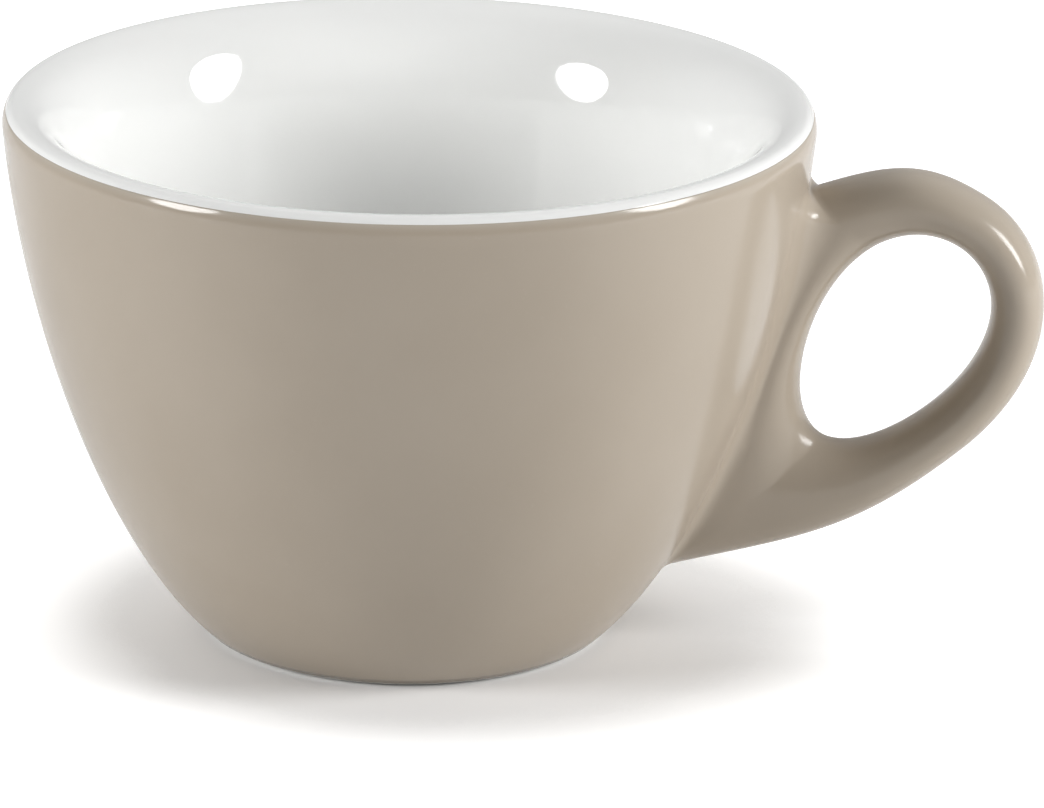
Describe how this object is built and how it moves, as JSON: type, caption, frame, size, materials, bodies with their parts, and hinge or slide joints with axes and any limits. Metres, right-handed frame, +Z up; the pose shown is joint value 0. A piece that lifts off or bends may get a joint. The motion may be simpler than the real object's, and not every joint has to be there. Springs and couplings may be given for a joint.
{
  "type": "espresso cup",
  "caption": "Small glazed porcelain cup with a rounded bowl, a white inside, a taupe outside, a ring foot and an ear-shaped loop handle for a finger.",
  "frame": {"origin": "middle of the cup's bounding box, on the surface that the foot ring stands on", "axes": "+X from the bowl towards the handle, +Z up along the bowl's axis, +Y completes the right-handed frame; the XZ plane halves the cup"},
  "size_m": [0.1024, 0.0798, 0.0537],
  "materials": {
    "porcelain": "fired white porcelain, bare only on the standing edge of the foot ring",
    "slip": "fired joining slip, matt",
    "taupe_glaze": "glossy opaque taupe glaze",
    "white_glaze": "glossy white glaze"
  },
  "bodies": {
    "root": {"cup_body": "porcelain", "handle": "porcelain", "handle_slip": "slip", "inner_glaze": "white_glaze", "outer_glaze": "taupe_glaze", "base_glaze": "taupe_glaze"}
  },
  "joints": []
}
